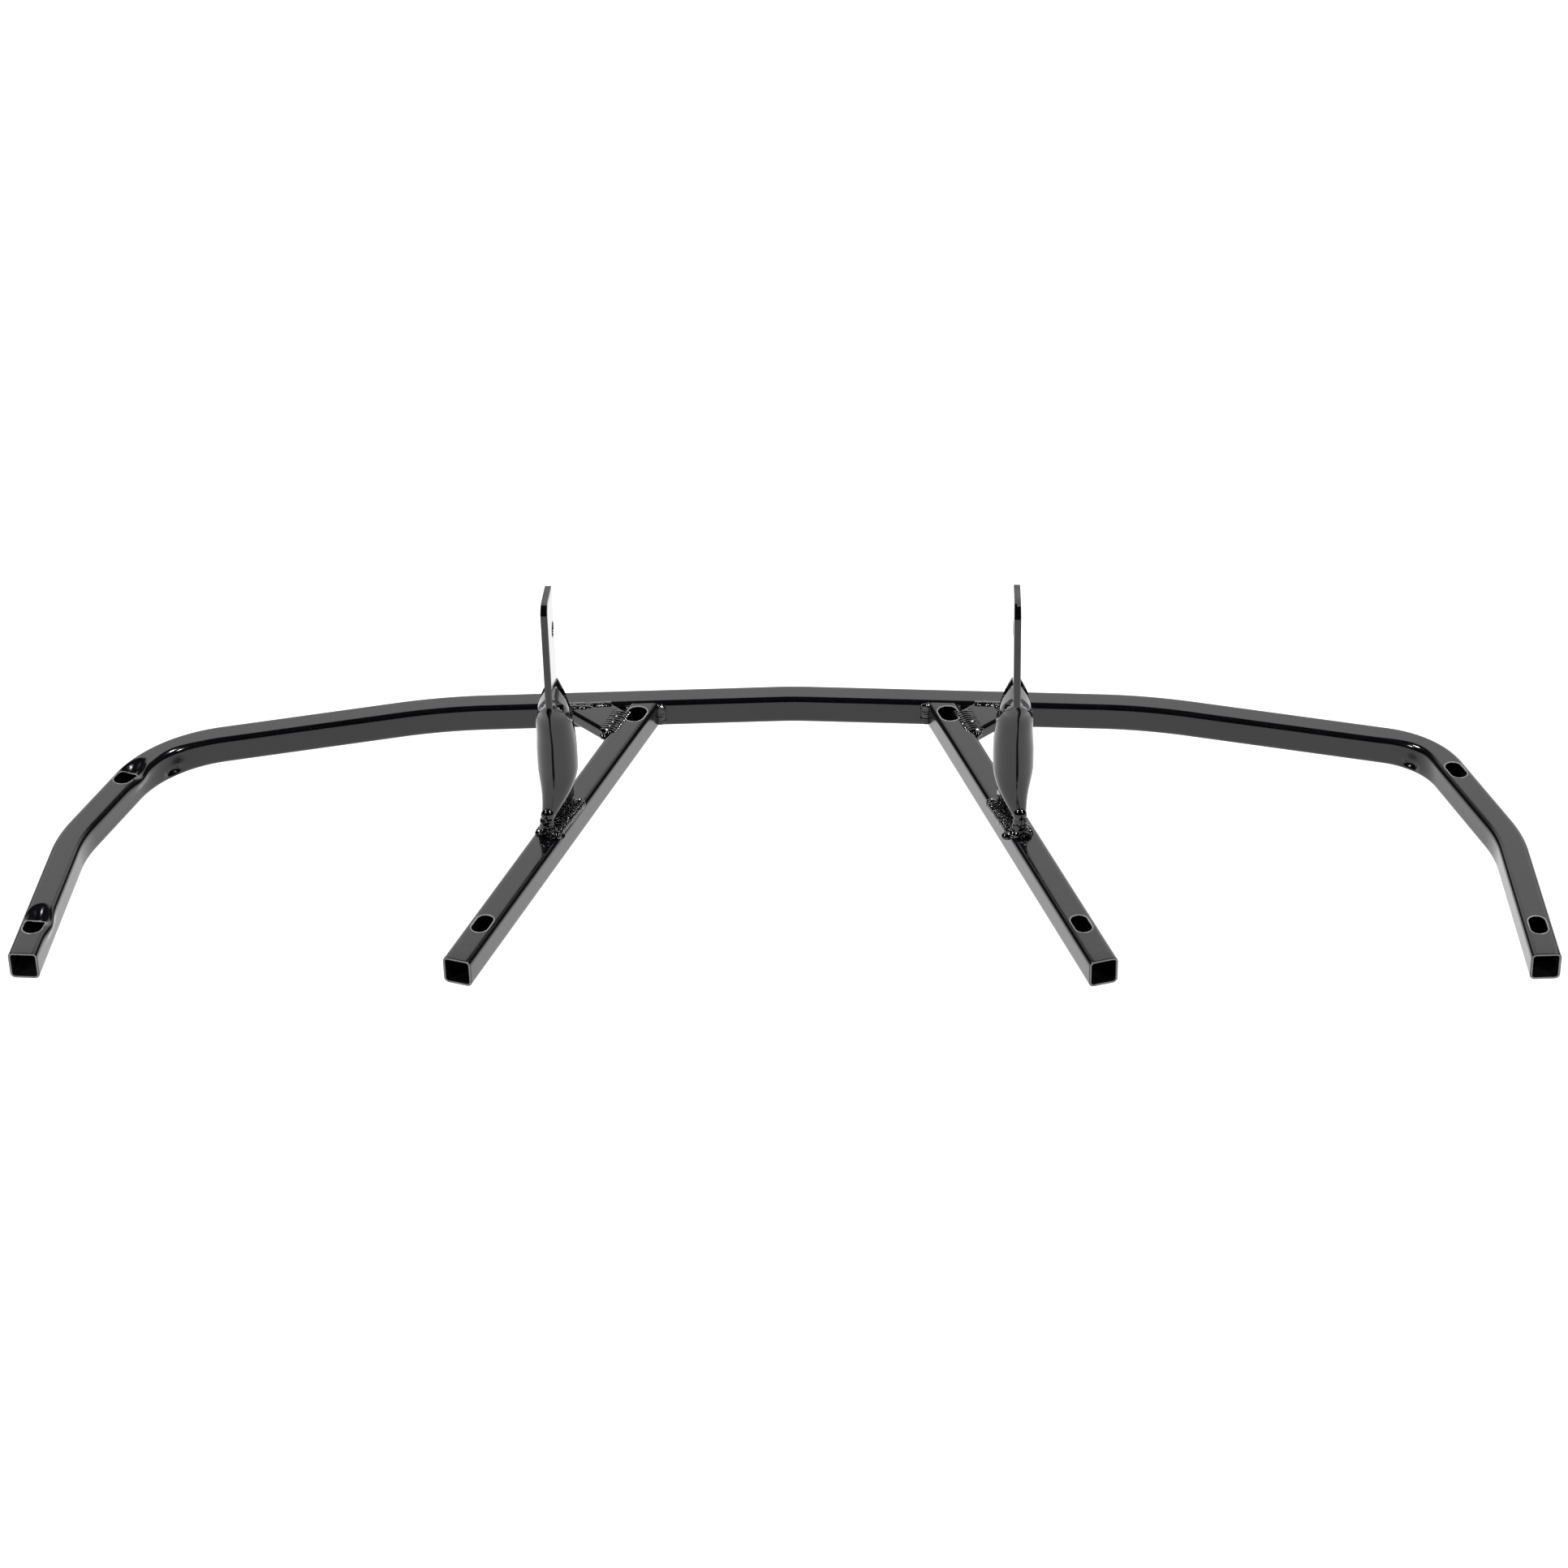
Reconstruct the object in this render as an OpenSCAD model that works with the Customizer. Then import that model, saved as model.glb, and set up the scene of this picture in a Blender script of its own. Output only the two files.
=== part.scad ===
// Welded support frame of square tube: a bow with two splayed legs, two corner
// braces and two uprights whose upper ends are pressed flat and drilled.
// Millimetres. The bow lies in the XY plane with its crown at y = 0, the open
// ends point to -Y, and the undersides of the square tubes rest on z = 0.

/* [Square tube] */
// Width across the flats
tube_w = 25.4; // [22:0.2:28]
// Wall thickness
tube_wall = 2.1; // [1.6:0.1:3]
// Outside radius of the corners
tube_r = 4.5; // [3.2:0.1:6]

/* [Bow] */
// Middle of the bow to each shallow bend, across
shallow_x = 318.5; // [300:0.5:340]
// Crown of the bow to the shallow bends, front to back
shallow_y = 16.7; // [10:0.1:24]
// Middle of the bow to each corner bend, across
corner_x = 567.5; // [540:0.5:600]
// Crown of the bow to the corner bends, front to back
corner_y = 82.5; // [70:0.5:100]
// Middle of the bow to each arm bend, across
arm_bend_x = 621; // [605:0.5:640]
// Crown of the bow to the arm bends, front to back
arm_bend_y = 234; // [215:0.5:260]
// Middle of the bow to the open arm ends, across
arm_end_x = 631; // [620:0.5:650]
// Crown of the bow to the open arm ends, front to back
arm_end_y = 411.5; // [380:0.5:430]
// Centreline radius of the crown bend
crown_bend_r = 300; // [200:10:500]
// Centreline radius of the shallow bends
shallow_bend_r = 400; // [200:10:600]
// Centreline radius of the corner bends, left and right
corner_bend_r = [110, 75]; // [60:1:130]
// Centreline radius of the arm bends
arm_bend_r = 150; // [80:5:250]

/* [Legs] */
// Middle of the bow to a leg's centreline at the bow
leg_root_x = 135; // [120:0.5:150]
// Middle of the bow to a leg's open end, across
leg_end_x = 267.5; // [240:0.5:290]
// Crown of the bow to a leg's open end, front to back
leg_end_y = 420; // [390:0.5:440]

/* [Slots] */
// Width of the bolt slots
slot_w = 14.5; // [10:0.5:16]
// Width of the slot at the root of each leg
root_slot_w = 17.5; // [14:0.5:18]
// Length of the bolt slots
slot_l = 25.5; // [18:0.5:30]
// Corner bend to the middle of each arm's rear slot, left and right
arm_slot_rear = [61, 53]; // [45:1:80]
// Arm bend to the middle of each arm's front slot
arm_slot_front = 136; // [120:1:150]
// Leg root to the middle of its rear slot
leg_slot_rear = 19; // [17:0.5:30]
// Leg root to the middle of its front slot
leg_slot_front = 367; // [340:1:390]

/* [Braces] */
// Width of the rectangular brace tube
brace_w = 36; // [30:0.5:38]
// Height of the rectangular brace tube
brace_h = 12.7; // [11:0.1:16]
// Outside radius of the brace's corners
brace_r = 3.2; // [2.6:0.1:4]
// Wall thickness of the brace
brace_wall = 1.8; // [1.4:0.1:2.4]
// Middle of the bow to where a brace's centreline meets the bow
brace_x = 185.5; // [182:0.5:190]

/* [Uprights] */
// Outside diameter of the round tube
upright_d = 35; // [32:0.5:38]
// Middle of the bow to an upright's axis, across
upright_x = 195.6; // [194:0.1:198]
// Crown of the bow to an upright's axis, front to back
upright_y = 213; // [200:1:225]
// Height of the round stretch's lower end
round_from = 91; // [88:1:105]
// Height of the round stretch's upper end
round_to = 130; // [124:1:134]
// Height where the pressed shoulder reaches the flat tab
tab_from = 157; // [152:1:162]
// Height of the tab's highest corner
tab_top = 256; // [245:1:270]
// Thickness of the pressed tab
tab_t = 6.2; // [5:0.1:7]
// Distance that the tab sits outboard of the tube's axis
tab_offset = 1.9; // [0:0.1:3]
// Distance that the foot sits outboard of the tube's axis
foot_offset = 2.5; // [0:0.1:3]
// Angle that the foot is turned towards the leg's direction
foot_angle = 19; // [0:1:24]
// Height of the bolt hole's centre
hole_z = 213; // [200:1:220]
// Distance of the bolt hole behind the tube's axis
hole_y = 11; // [0:0.5:12]
// Diameter of the bolt hole
hole_d = 13.5; // [10:0.5:14]
// Thickness across the pinched foot
foot_t = 10; // [9:0.5:14]

/* [Hidden] */
$fn = 48;
coat = "#26272a";
bead = "#1b1c1e";

// Centreline of the bow's right half, from the crown to the open end
half_path = [[0, 0], [shallow_x, -shallow_y], [corner_x, -corner_y],
             [arm_bend_x, -arm_bend_y], [arm_end_x, -arm_end_y]];
function half_radii(s) = [crown_bend_r, shallow_bend_r, corner_bend_r[s], arm_bend_r];
last = len(half_path) - 1;

// The whole bow, from the left open end to the right one
path = [for (i = [-last : last]) let (p = half_path[abs(i)]) [sign(i) * p.x, p.y]];
radii = [for (i = [1 - last : last - 1]) half_radii(i < 0 ? 0 : 1)[abs(i)]];

function unit(a, b) = (b - a) / norm(b - a);
function heading(a, b) = atan2(b.y - a.y, b.x - a.x);
function along(a, b, d) = a + d * unit(a, b);
function turn(i) = heading(path[i - 1], path[i]) - heading(path[i], path[i + 1]);
function bend_at(i) = i > 0 && i < len(path) - 1;
function setback(i) = bend_at(i) ? radii[i - 1] * tan(turn(i) / 2) : 0;

// The bow's front face runs straight from the crown to the shallow bends
bow_slope = atan(shallow_y / shallow_x);
face_dir = [cos(bow_slope), -sin(bow_slope)];
function face_point(x) = [x, -x * tan(bow_slope) - tube_w / 2 / cos(bow_slope)];

leg_root = face_point(leg_root_x);
leg_end = [leg_end_x, -leg_end_y];
leg_heading = heading(leg_root, leg_end);
leg_dir = unit(leg_root, leg_end);
leg_out = [-leg_dir.y, leg_dir.x];
leg_half = tube_w / 2 / sin(-leg_heading - bow_slope);

// A brace runs at 45 degrees from the bow to the leg's outer face
brace_root = face_point(brace_x);
brace_dir = [-1, -1] / sqrt(2);
brace_run = (tube_w / 2 - (brace_root - leg_root) * leg_out) / (brace_dir * leg_out);
brace_end = brace_root + brace_run * brace_dir;
brace_z = tube_w - brace_h / 2;
brace_half_bow = brace_w / 2 / sin(45 - bow_slope);
brace_half_leg = brace_w / 2 / sin(135 + leg_heading);

// Stadium section of a round tube that has been squeezed to half thickness a:
// the perimeter stays the same, so its half length is this
function squeezed(a) = a + PI / 2 * (upright_d / 2 - a);
foot_a = foot_t / 2;
foot_b = squeezed(foot_a);
tab_b = squeezed(tab_t / 2);
foot_h = 8;
foot_bead = 5;

module rounded_bar(w, h, r) {
    square([w - 2 * r, h], center = true);
    square([w, h - 2 * r], center = true);
    for (x = [-1, 1], y = [-1, 1])
        translate([x * (w / 2 - r), y * (h / 2 - r)]) circle(r);
}

module tube_section(w, h, r, wall) {
    difference() {
        rounded_bar(w, h, r);
        rounded_bar(w - 2 * wall, h - 2 * wall, r - wall);
    }
}

// A straight bar along the line from a to b, with its section standing upright
module along_line(a, b, z) {
    translate([a.x, a.y, z])
        rotate([0, 0, heading(a, b)])
            rotate([90, 0, 90])
                linear_extrude(norm(b - a)) children();
}

// A slot through the top wall of a square tube
module bolt_slot(p, angle, w = slot_w) {
    run = slot_l - w;
    translate([p.x, p.y, tube_w / 2]) rotate([0, 0, angle]) {
        translate([-run / 2, -w / 2, 0]) cube([run, w, tube_w]);
        for (x = [-run / 2, run / 2])
            translate([x, 0, 0]) cylinder(d = w, h = tube_w);
    }
}

module tube_bend(i) {
    into = heading(path[i - 1], path[i]);
    start = along(path[i], path[i - 1], setback(i));
    r = radii[i - 1];
    translate([start.x + r * sin(into), start.y - r * cos(into), tube_w / 2])
        rotate([0, 0, into + 90 - turn(i)])
            rotate_extrude(angle = turn(i), $fn = 180)
                translate([r, 0]) tube_section(tube_w, tube_w, tube_r, tube_wall);
}

module bow_tube() {
    color(coat) difference() {
        union() {
            for (i = [0 : len(path) - 2])
                along_line(along(path[i], path[i + 1], setback(i)),
                           along(path[i + 1], path[i], setback(i + 1)), tube_w / 2)
                    tube_section(tube_w, tube_w, tube_r, tube_wall);
            for (i = [1 : len(path) - 2]) tube_bend(i);
        }
        for (s = [0, 1]) mirror([1 - s, 0, 0]) {
            bolt_slot(along(half_path[2], half_path[3], arm_slot_rear[s]),
                      heading(half_path[2], half_path[3]));
            bolt_slot(along(half_path[3], half_path[4], arm_slot_front),
                      heading(half_path[3], half_path[4]));
        }
    }
}

// Everything behind the bow's front face on the right half
module behind_bow_face() {
    rotate([0, 0, -bow_slope])
        translate([-50, -tube_w / 2, -50]) cube([400, 100, 150]);
}

// The leg before its rear end is mitred against the bow
module leg_stock() {
    along_line(leg_root - 40 * leg_dir, leg_end, tube_w / 2) children();
}

module right_leg() {
    color(coat) difference() {
        leg_stock() tube_section(tube_w, tube_w, tube_r, tube_wall);
        behind_bow_face();
        bolt_slot(along(leg_root, leg_end, leg_slot_rear), leg_heading, root_slot_w);
        bolt_slot(along(leg_root, leg_end, leg_slot_front), leg_heading);
    }
}

module left_leg() mirror([1, 0, 0]) right_leg();

// Everything on the inner side of the right leg's outer face
module inside_leg_face() {
    translate([leg_root.x, leg_root.y, -50]) rotate([0, 0, leg_heading])
        translate([-100, -150, 0]) cube([300, 150 + tube_w / 2, 150]);
}

// The brace before both its ends are mitred
module brace_stock() {
    along_line(brace_root - 40 * brace_dir, brace_end + 40 * brace_dir, brace_z) children();
}

module right_brace() {
    color(coat) difference() {
        brace_stock() tube_section(brace_w, brace_h, brace_r, brace_wall);
        behind_bow_face();
        inside_leg_face();
    }
}

module left_brace() mirror([1, 0, 0]) right_brace();

// Pressed upright. Rings of points climb the tube; each ring is a stadium,
// clipped flat at +-clip by the press, shifted across by off and turned by ang.
function blend(t) = t * t * (3 - 2 * t);
function climb(z, z0, z1) = min(1, max(0, (z - z0) / (z1 - z0)));
function half_thick(z) = z < round_to
    ? foot_a + (upright_d / 2 - foot_a) * blend(climb(z, tube_w + foot_h, round_from))
    : upright_d / 2 + (tab_t / 2 - upright_d / 2) * pow(climb(z, round_to, tab_from), 2);
function press_clip(z) = z < round_to ? upright_d / 2
    : tab_t / 2 + (0.75 * upright_d / 2 - tab_t / 2)
      * (1 - pow(climb(z, round_to, tab_from), 1.6));
function ring_angle(z) = foot_angle * (1 - blend(climb(z, tube_w + foot_h, round_from)));
function ring_shift(z) = tab_offset * blend(climb(z, round_to - 20, tab_from))
    + foot_offset * (1 - blend(climb(z, tube_w + foot_h, round_from)));

// Point k of n round a stadium of half thickness a and half length b
function stadium(a, b, k, n) =
    let (t = 360 * (k + 0.5) / n, y = sin(t) > 0 ? 1 : -1)
    [a * cos(t), a * sin(t) + y * (b - a)];

function ring(z, n) =
    let (a = half_thick(z), c = press_clip(z), w = ring_angle(z))
    [for (k = [0 : n - 1])
        let (p = stadium(a, squeezed(a), k, n), x = max(-c, min(c, p.x)))
        [upright_x + ring_shift(z) + x * cos(w) - p.y * sin(w),
         -upright_y + x * sin(w) + p.y * cos(w), z]];

module ring_stack(levels, n) {
    points = [for (z = levels) each ring(z, n)];
    top = (len(levels) - 1) * n;
    sides = [for (i = [0 : len(levels) - 2], k = [0 : n - 1])
        let (j = (k + 1) % n, a = i * n)
        each [[a + k, a + k + n, a + j + n], [a + k, a + j + n, a + j]]];
    ends = [[for (k = [0 : n - 1]) k], [for (k = [n - 1 : -1 : 0]) top + k]];
    polyhedron(points, concat(sides, ends));
}

body_levels = concat([tube_w, tube_w + foot_h],
    [for (i = [1 : 10]) tube_w + foot_h + i * (round_from - tube_w - foot_h) / 10],
    [round_to - 2, round_to],
    [for (i = [1 : 10]) round_to + i * (tab_from - round_to) / 10]);

// Side view of the flat tab: front corner clipped, end cut sloping to the rear
module tab_outline() {
    polygon([[-tab_b - 1, tab_from - 4], [-tab_b - 1, tab_top - 16],
             [-tab_b + 10, tab_top], [tab_b - 4, tab_top - 10],
             [tab_b + 1, tab_top - 14], [tab_b + 1, tab_from - 4]]);
}

module right_upright() {
    color(coat) difference() {
        union() {
            ring_stack(body_levels, 40);
            translate([upright_x + tab_offset, -upright_y, 0]) intersection() {
                translate([0, 0, tab_from - 0.5]) linear_extrude(tab_top - tab_from + 1) {
                    square([tab_t, 2 * tab_b - tab_t], center = true);
                    for (y = [-1, 1]) translate([0, y * (tab_b - tab_t / 2)])
                        circle(d = tab_t);
                }
                rotate([90, 0, 90]) translate([0, 0, -10])
                    linear_extrude(20) tab_outline();
            }
        }
        translate([upright_x + tab_offset - 10, hole_y - upright_y, hole_z])
            rotate([0, 90, 0]) cylinder(d = hole_d, h = 20);
    }
}

module left_upright() mirror([1, 0, 0]) right_upright();

// Solid outlines that a weld bead is laid against
module bow_bar() {
    along_line([0, 0], half_path[1], tube_w / 2) rounded_bar(tube_w, tube_w, tube_r);
}
module leg_bar() leg_stock() rounded_bar(tube_w, tube_w, tube_r);
module brace_bar() brace_stock() rounded_bar(brace_w, brace_h, brace_r);

module vertical_bead(p, r, z0, z1) {
    translate([p.x, p.y, z0]) cylinder(r = r, h = z1 - z0);
}

// Beads down both sides of the leg's mitred end
module right_leg_weld() {
    color(bead) difference() {
        union() {
            vertical_bead(leg_root - leg_half * face_dir, 6, 4, tube_w - 1.5);
            vertical_bead(leg_root + leg_half * face_dir, 4, 4, tube_w - 1.5);
        }
        behind_bow_face();
        leg_bar();
        brace_bar();
    }
}
module left_leg_weld() mirror([1, 0, 0]) right_leg_weld();

// Bead in the groove between the bow and the brace's rear end
module right_brace_bow_weld() {
    rear = brace_root - (brace_half_bow - 6) * face_dir;
    front = brace_root + (brace_half_bow + 3) * face_dir;
    color(bead) difference() {
        union() {
            along_line(rear, front, tube_w - 3) circle(r = 5);
            vertical_bead(brace_root + brace_half_bow * face_dir, 5,
                         tube_w - brace_h, tube_w - 3);
        }
        bow_bar();
        brace_bar();
        leg_bar();
    }
}
module left_brace_bow_weld() mirror([1, 0, 0]) right_brace_bow_weld();

// Fat bead in the groove between the leg and the brace's front end
module right_brace_leg_weld() {
    rear = brace_end - (brace_half_leg - 6) * leg_dir;
    front = brace_end + (brace_half_leg + 2) * leg_dir;
    color(bead) difference() {
        union() {
            along_line(rear, front, tube_w - 4) circle(r = 6.5);
            vertical_bead(brace_end + brace_half_leg * leg_dir, 5,
                         tube_w - brace_h, tube_w - 4);
        }
        leg_bar();
        brace_bar();
        bow_bar();
    }
}
module left_brace_leg_weld() mirror([1, 0, 0]) right_brace_leg_weld();

// Outline of the upright's pinched foot, grown all round
module foot_outline(grow) {
    square([2 * (foot_a + grow), 2 * (foot_b - foot_a)], center = true);
    for (y = [foot_a - foot_b, foot_b - foot_a]) translate([0, y]) circle(foot_a + grow);
}

// Stepped fillet all round the upright's pinched foot, on top of the leg
module right_upright_weld() {
    color(bead) translate([upright_x + foot_offset, -upright_y, tube_w])
        rotate([0, 0, foot_angle]) difference() {
            union() {
                linear_extrude(foot_bead / 2) foot_outline(foot_bead);
                linear_extrude(foot_bead) foot_outline(foot_bead / 2);
            }
            translate([0, 0, -1]) linear_extrude(foot_bead + 2) foot_outline(0);
        }
}
module left_upright_weld() mirror([1, 0, 0]) right_upright_weld();

bow_tube();
left_leg();
right_leg();
left_brace();
right_brace();
left_upright();
right_upright();
left_leg_weld();
right_leg_weld();
left_brace_bow_weld();
right_brace_bow_weld();
left_brace_leg_weld();
right_brace_leg_weld();
left_upright_weld();
right_upright_weld();
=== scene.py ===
import math
import random

import bmesh
import bpy
from mathutils import Matrix, Vector


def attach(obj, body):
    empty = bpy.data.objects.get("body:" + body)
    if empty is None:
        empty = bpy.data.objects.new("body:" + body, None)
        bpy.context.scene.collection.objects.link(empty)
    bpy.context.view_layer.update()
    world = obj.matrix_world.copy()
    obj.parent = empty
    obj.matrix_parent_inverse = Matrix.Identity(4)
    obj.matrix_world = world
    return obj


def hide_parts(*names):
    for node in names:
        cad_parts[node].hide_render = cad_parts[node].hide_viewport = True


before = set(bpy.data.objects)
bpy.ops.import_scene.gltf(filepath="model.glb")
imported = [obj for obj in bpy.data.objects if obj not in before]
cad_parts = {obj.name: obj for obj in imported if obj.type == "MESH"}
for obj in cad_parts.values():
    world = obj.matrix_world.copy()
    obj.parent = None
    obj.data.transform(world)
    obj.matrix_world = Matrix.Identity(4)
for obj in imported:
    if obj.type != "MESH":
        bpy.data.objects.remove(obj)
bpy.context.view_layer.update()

# ------------------------------------------------------------------ sizes, in millimetres
# The same numbers as the CAD source, in the same frame: crown of the bow at the
# origin, open ends towards -Y, undersides of the square tubes on z = 0. Where a size
# differs between the sides, -1 is the left side and 1 the right one.
MM = 0.001
SIDES = {-1: "left", 1: "right"}
# Square tube: width, wall, outside corner radius
TUBE, WALL, TUBE_R = 25.4, 2.1, 4.5
HALF = TUBE / 2
# Bends and open end of the bow's half, across and forwards from its crown
BOW = [(318.5, 16.7), (567.5, 82.5), (621.0, 234.0), (631.0, 411.5)]
# Bend radii of the bow: crown, shallow bend, corner, arm
BEND_R = {-1: (300, 400, 110, 150), 1: (300, 400, 75, 150)}
# Slots: distance from the bend or the leg's root before them, then their sizes
ARM_SLOT_REAR = {-1: 61.0, 1: 53.0}
ARM_SLOT_FRONT = 136.0
LEG_SLOTS = (19.0, 367.0)
SLOT_W, ROOT_SLOT_W, SLOT_L = 14.5, 17.5, 25.5
LEG_ROOT_X, LEG_END = 135.0, (267.5, -420.0)
BRACE_W, BRACE_H, BRACE_R, BRACE_WALL = 36.0, 12.7, 3.2, 1.8
BRACE_X = 185.5
# Axis and outside radius of an upright
UP_X, UP_Y, UP_R = 195.6, 213.0, 17.5


def v2(a, b):
    return Vector((a, b))


def unit(a, b):
    return (b - a).normalized()


def left_of(d):
    return v2(-d.y, d.x)


def lerp(a, b, t):
    return a + (b - a) * t


def smooth(t, a=0.0, b=1.0):
    t = min(1.0, max(0.0, (t - a) / (b - a)))
    return t * t * (3 - 2 * t)


def mesh_object(name, verts, faces):
    """A mesh object from millimetre points, with its faces turned outwards."""
    me = bpy.data.meshes.new(name)
    me.from_pydata([Vector(p) * MM for p in verts], [], faces)
    bm = bmesh.new()
    bm.from_mesh(me)
    bmesh.ops.recalc_face_normals(bm, faces=bm.faces)
    bm.to_mesh(me)
    bm.free()
    ob = bpy.data.objects.new(name, me)
    bpy.context.scene.collection.objects.link(ob)
    return ob


def prism_faces(m):
    """Faces of a prism whose m lower points come before its m upper ones."""
    sides = [(k, (k + 1) % m, m + (k + 1) % m, m + k) for k in range(m)]
    return [tuple(range(m)), tuple(range(m, 2 * m))] + sides


def loop_faces(m, n):
    """Faces of a closed loop of m rings, each of n points."""
    faces = []
    for k in range(m):
        here, there = k * n, (k + 1) % m * n
        for j in range(n):
            i = (j + 1) % n
            faces.append((here + j, there + j, there + i, here + i))
    return faces


def bake_modifiers(ob):
    """Applies the modifiers of ob."""
    dg = bpy.context.evaluated_depsgraph_get()
    me = bpy.data.meshes.new_from_object(ob.evaluated_get(dg))
    ob.modifiers.clear()
    old, ob.data = ob.data, me
    bpy.data.meshes.remove(old)


def cut(ob, cutters):
    """Takes the cutters out of ob and deletes them."""
    for c in cutters:
        m = ob.modifiers.new("cut", "BOOLEAN")
        m.operation, m.solver, m.object = "DIFFERENCE", "EXACT", c
    bake_modifiers(ob)
    for c in cutters:
        bpy.data.objects.remove(c)


def join(ob, others):
    """Adds the meshes of others to ob, as further shells of the same piece."""
    bm = bmesh.new()
    bm.from_mesh(ob.data)
    for o in others:
        bm.from_mesh(o.data)
        bpy.data.objects.remove(o)
    bm.to_mesh(ob.data)
    bm.free()


def shade(ob, degrees=32.0):
    """Smooth shading with flats kept flat."""
    me = ob.data
    me.shade_smooth()
    me.set_sharp_from_angle(angle=math.radians(degrees))
    m = ob.modifiers.new("flat_normals", "WEIGHTED_NORMAL")
    m.keep_sharp = True
    m.weight = 80


# ------------------------------------------------------------------ materials
def map_range(tree, value, source, target):
    """The output of a node that maps value from the range source to the range target."""
    node = tree.nodes.new("ShaderNodeMapRange")
    node.inputs["From Min"].default_value, node.inputs["From Max"].default_value = source
    node.inputs["To Min"].default_value, node.inputs["To Max"].default_value = target
    tree.links.new(value, node.inputs["Value"])
    return node.outputs["Result"]


def noise(tree, coords, scale, detail, rough):
    """The output of a noise texture."""
    node = tree.nodes.new("ShaderNodeTexNoise")
    node.inputs["Scale"].default_value = scale
    node.inputs["Detail"].default_value = detail
    node.inputs["Roughness"].default_value = rough
    tree.links.new(coords, node.inputs["Vector"])
    return node.outputs["Fac"]


def bump(tree, height, strength, distance):
    """A bump node driven by height, with distance in metres."""
    node = tree.nodes.new("ShaderNodeBump")
    node.inputs["Strength"].default_value = strength
    node.inputs["Distance"].default_value = distance
    tree.links.new(height, node.inputs["Height"])
    return node


DUST = (0.06, 0.06, 0.062, 1)
CLOUD_SCALE, PEEL_SCALE, WAVE_SCALE, DUST_SCALE = 35, 900, 140, 420
DUST_RADIUS = 0.16
PEEL_DEPTH, WAVE_DEPTH = 0.00004, 0.0003


def coat_material(name, base, rough, peel, waviness, speck, ior=1.46, specular=0.5):
    """Powder coat: orange peel and waviness in the bump, faint clouding, dust specks."""
    mat = bpy.data.materials.new(name)
    mat.use_nodes = True
    tree = mat.node_tree
    nodes, links = tree.nodes, tree.links
    bsdf = nodes["Principled BSDF"]
    bsdf.inputs["IOR"].default_value = ior
    bsdf.inputs["Specular IOR Level"].default_value = specular
    coords = nodes.new("ShaderNodeTexCoord").outputs["Object"]
    cloud = noise(tree, coords, CLOUD_SCALE, 4, 0.6)
    fine = noise(tree, coords, PEEL_SCALE, 3, 0.65)
    wave = noise(tree, coords, WAVE_SCALE, 2, 0.5)

    tint = nodes.new("ShaderNodeValToRGB")
    for element, place, factor in zip(tint.color_ramp.elements, (0.3, 0.7), (0.75, 1.35)):
        element.position = place
        element.color = (*[q * factor for q in base], 1)
    links.new(cloud, tint.inputs["Fac"])
    dots = nodes.new("ShaderNodeTexVoronoi")
    dots.inputs["Scale"].default_value = DUST_SCALE
    links.new(coords, dots.inputs["Vector"])
    dust = map_range(tree, dots.outputs["Distance"], (0, DUST_RADIUS), (speck, 0))
    mix = nodes.new("ShaderNodeMix")
    mix.data_type = "RGBA"
    mix.inputs["B"].default_value = DUST
    links.new(dust, mix.inputs["Factor"])
    links.new(tint.outputs["Color"], mix.inputs["A"])
    links.new(mix.outputs["Result"], bsdf.inputs["Base Color"])

    roughness = map_range(tree, fine, (0, 1), (rough * 0.7, rough * 1.4))
    links.new(roughness, bsdf.inputs["Roughness"])
    peel_bump = bump(tree, fine, peel, PEEL_DEPTH)
    wave_bump = bump(tree, wave, waviness, WAVE_DEPTH)
    links.new(wave_bump.outputs["Normal"], peel_bump.inputs["Normal"])
    links.new(peel_bump.outputs["Normal"], bsdf.inputs["Normal"])
    return mat


BLACK = (0.0010, 0.0010, 0.0013)
tube_coat = coat_material("gloss_coat_square_tube", BLACK, rough=0.13, peel=0.6,
                          waviness=0.15, speck=0.4)
brace_coat = coat_material("gloss_coat_brace", BLACK, rough=0.13, peel=0.5,
                           waviness=0.18, speck=0.4)
round_coat = coat_material("gloss_coat_round_tube", (0.0010, 0.0010, 0.0011), rough=0.10,
                           peel=0.3, waviness=0.12, speck=0.3, ior=1.5)
weld_coat = coat_material("gloss_coat_weld", (0.0008, 0.0008, 0.0009), rough=0.09,
                          peel=0.15, waviness=0.15, speck=0.2, ior=1.5)
inside_finish = coat_material("bare_inside", (0.002, 0.002, 0.002), rough=0.6, peel=0.4,
                              waviness=0.3, speck=0.1, specular=0.1)
# Lighter grey of the tubes' cut ends; on the slots' rolled lips the same grey is a painted highlight along the
# rim.
cut_face_and_rim_highlight = coat_material("cut_face_and_painted_rim_highlight", (0.13, 0.13, 0.133), rough=0.38, peel=0.9,
                           waviness=0.5, speck=0.6)
sheared_finish = coat_material("sheared_end", (0.03, 0.03, 0.031), rough=0.5, peel=1.0,
                               waviness=0.9, speck=0.8, specular=0.12)


# ------------------------------------------------------------------ swept tubes
# Material slots of a tube or an upright. The third holds the cut or sheared ends; on a slot's lip it holds the
# lighter cut-end grey, a painted highlight.
COAT, INSIDE, END_AND_LIP_SLOT = 0, 1, 2
# Spacing of the stations along a straight run, and where a slot or a dent needs more
STEP, FINE_STEP, BEND_STEP = 12.0, 1.5, 2.5
# Broken edges of a square-cut end: (inset from the face, distance from the end)
OUTER_EDGE = ((0.5, 0.0), (0.18, 0.16), (0.0, 0.6))
BORE_EDGE = ((0.35, 0.0), (0.1, 0.12), (0.0, 0.5))
# No station comes closer to a tube's end than this
END_CLEAR = 3


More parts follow.
